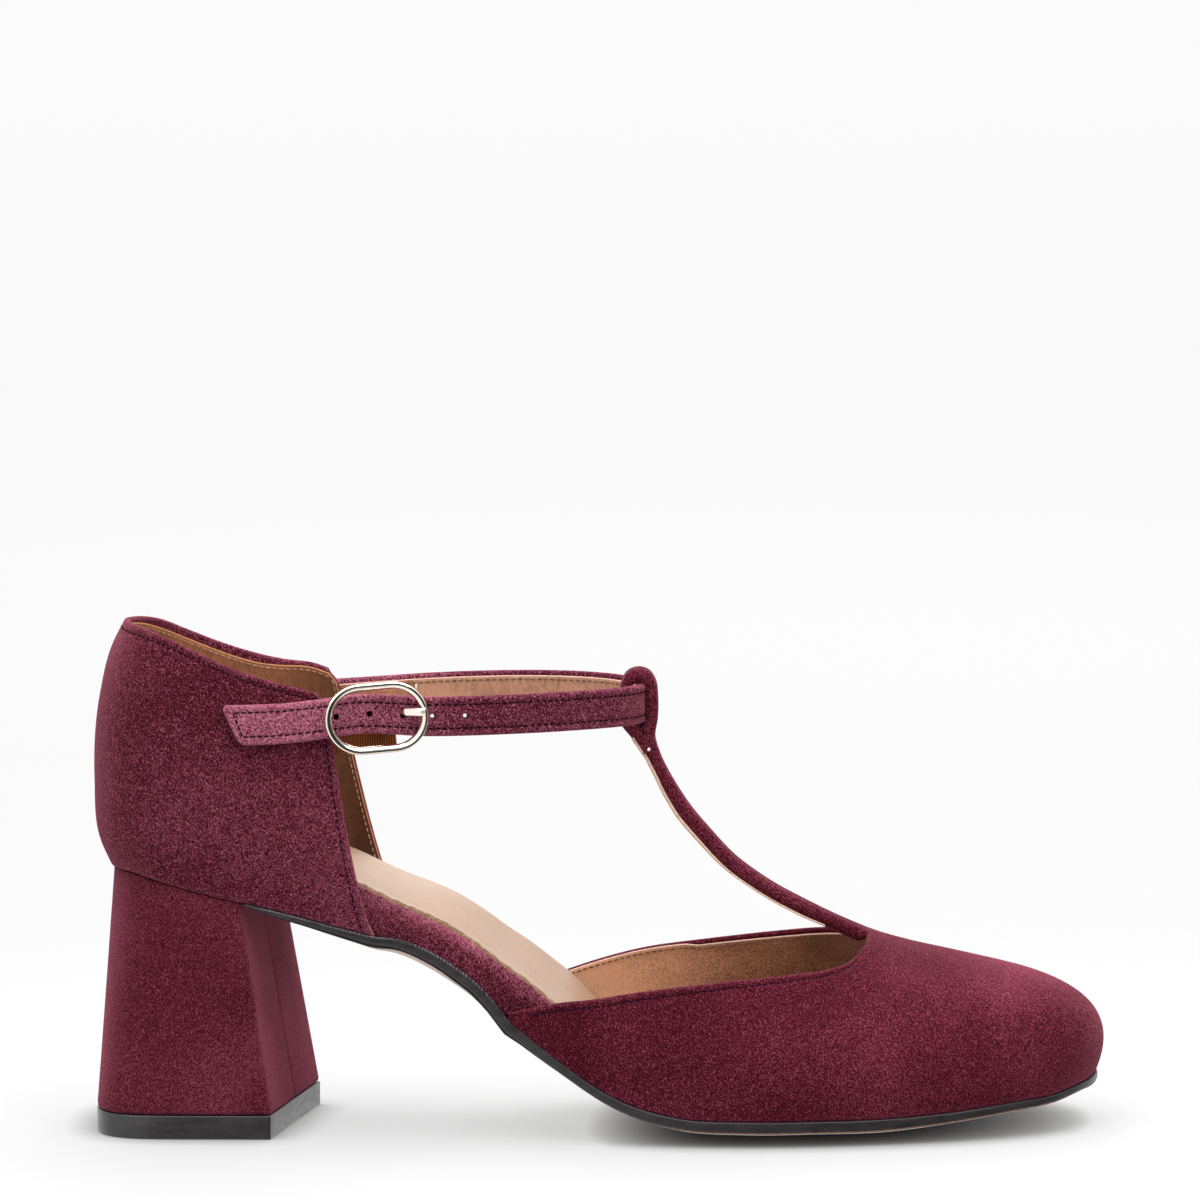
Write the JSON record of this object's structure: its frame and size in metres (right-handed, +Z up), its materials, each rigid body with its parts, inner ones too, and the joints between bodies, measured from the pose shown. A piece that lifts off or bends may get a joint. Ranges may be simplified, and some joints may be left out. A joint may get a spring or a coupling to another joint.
{
  "type": "t-strap pump",
  "caption": "Closed-toe suede pump for the right foot with open sides, a T-bar looped round a buckled ankle strap, a padded footbed and a flared block heel.",
  "frame": {"origin": "on the floor, under the middle of the shoe's box", "axes": "+X from heel to toe, +Y towards the inner side of the foot, +Z up"},
  "size_m": [0.2396, 0.0781, 0.1204],
  "materials": {
    "suede": "matt burgundy suede with a short nap",
    "footbed": "smooth beige lining leather",
    "sole_black": "satin charcoal edge",
    "gold": "polished pale gold plating",
    "elastic": "ribbed rust-brown elastic"
  },
  "bodies": {
    "root": {"ankle_strap": "suede", "buckle_elastic": "elastic", "buckle_frame": "gold", "buckle_prong": "gold", "heel": "suede", "heel_tip": "sole_black", "insole": "footbed", "outsole": "sole_black", "quarter": "suede", "vamp": "suede", "waist_wrap_inner": "suede", "waist_wrap_outer": "suede"}
  },
  "joints": []
}
